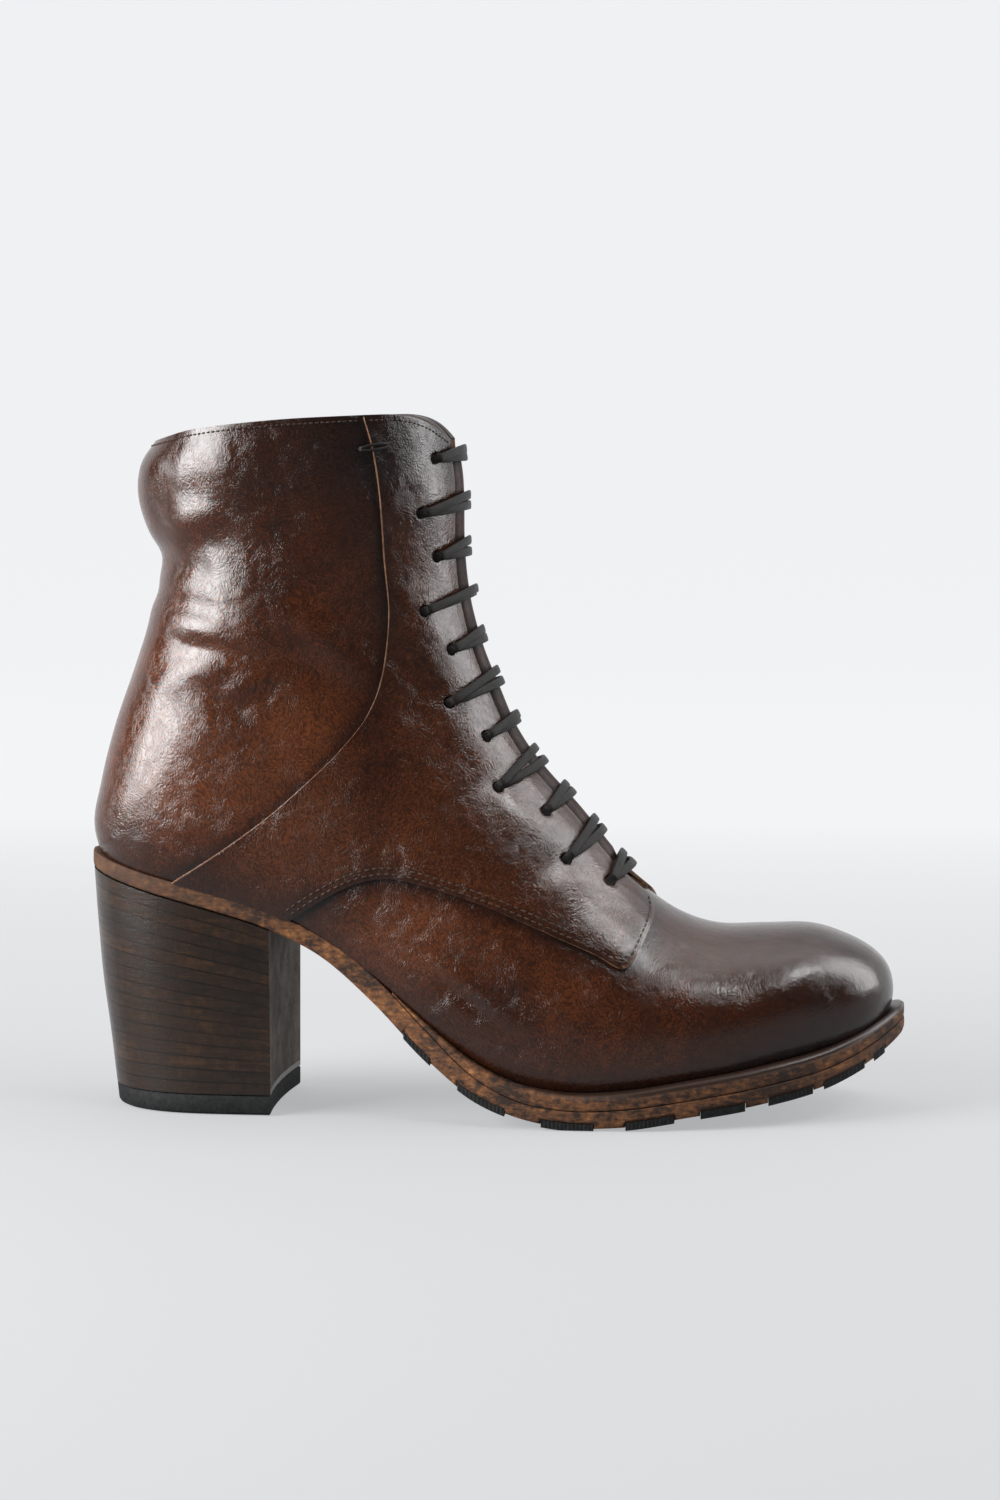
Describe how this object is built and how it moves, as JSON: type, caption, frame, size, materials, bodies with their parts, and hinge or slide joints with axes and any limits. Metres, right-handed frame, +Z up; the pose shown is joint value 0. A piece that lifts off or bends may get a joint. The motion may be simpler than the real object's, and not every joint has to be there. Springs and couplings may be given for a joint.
{
  "type": "lace-up ankle boot",
  "caption": "Lace-up leather ankle boot for the right foot, open at the collar and laced over a tongue, on a stacked block heel and a lugged sole.",
  "frame": {"origin": "middle of the boot's bounding box at floor level", "axes": "+X towards the toe, +Z up from the floor, -Y towards the outer (lateral) side of the right foot"},
  "size_m": [0.255, 0.089, 0.2158],
  "materials": {
    "upper_leather": "burnished brown leather with fine grain and a satin shine",
    "quarter_leather": "burnished brown leather with fine grain and a satin shine",
    "tongue_leather": "dark brown leather",
    "insole_leather": "undyed tan leather",
    "sole_leather": "rough cut edge of brown sole leather",
    "heel_leather": "dark stacked leather with fine layer lines",
    "rubber": "matt black rubber",
    "lace": "flat waxed cotton lace"
  },
  "bodies": {
    "root": {"upper": "upper_leather", "quarter_lateral": "quarter_leather", "quarter_medial": "quarter_leather", "tongue": "tongue_leather", "insole": "insole_leather", "welt": "sole_leather", "outsole": "sole_leather", "heel_stack": "heel_leather", "tread": "rubber", "heel_lift": "rubber", "lace_bar_01": "lace", "lace_bar_02": "lace", "lace_bar_03": "lace", "lace_bar_04": "lace", "lace_bar_05": "lace", "lace_bar_06": "lace", "lace_bar_07": "lace", "lace_bar_08": "lace", "lace_bar_09": "lace", "lace_bar_10": "lace", "lace_bar_11": "lace"}
  },
  "joints": []
}
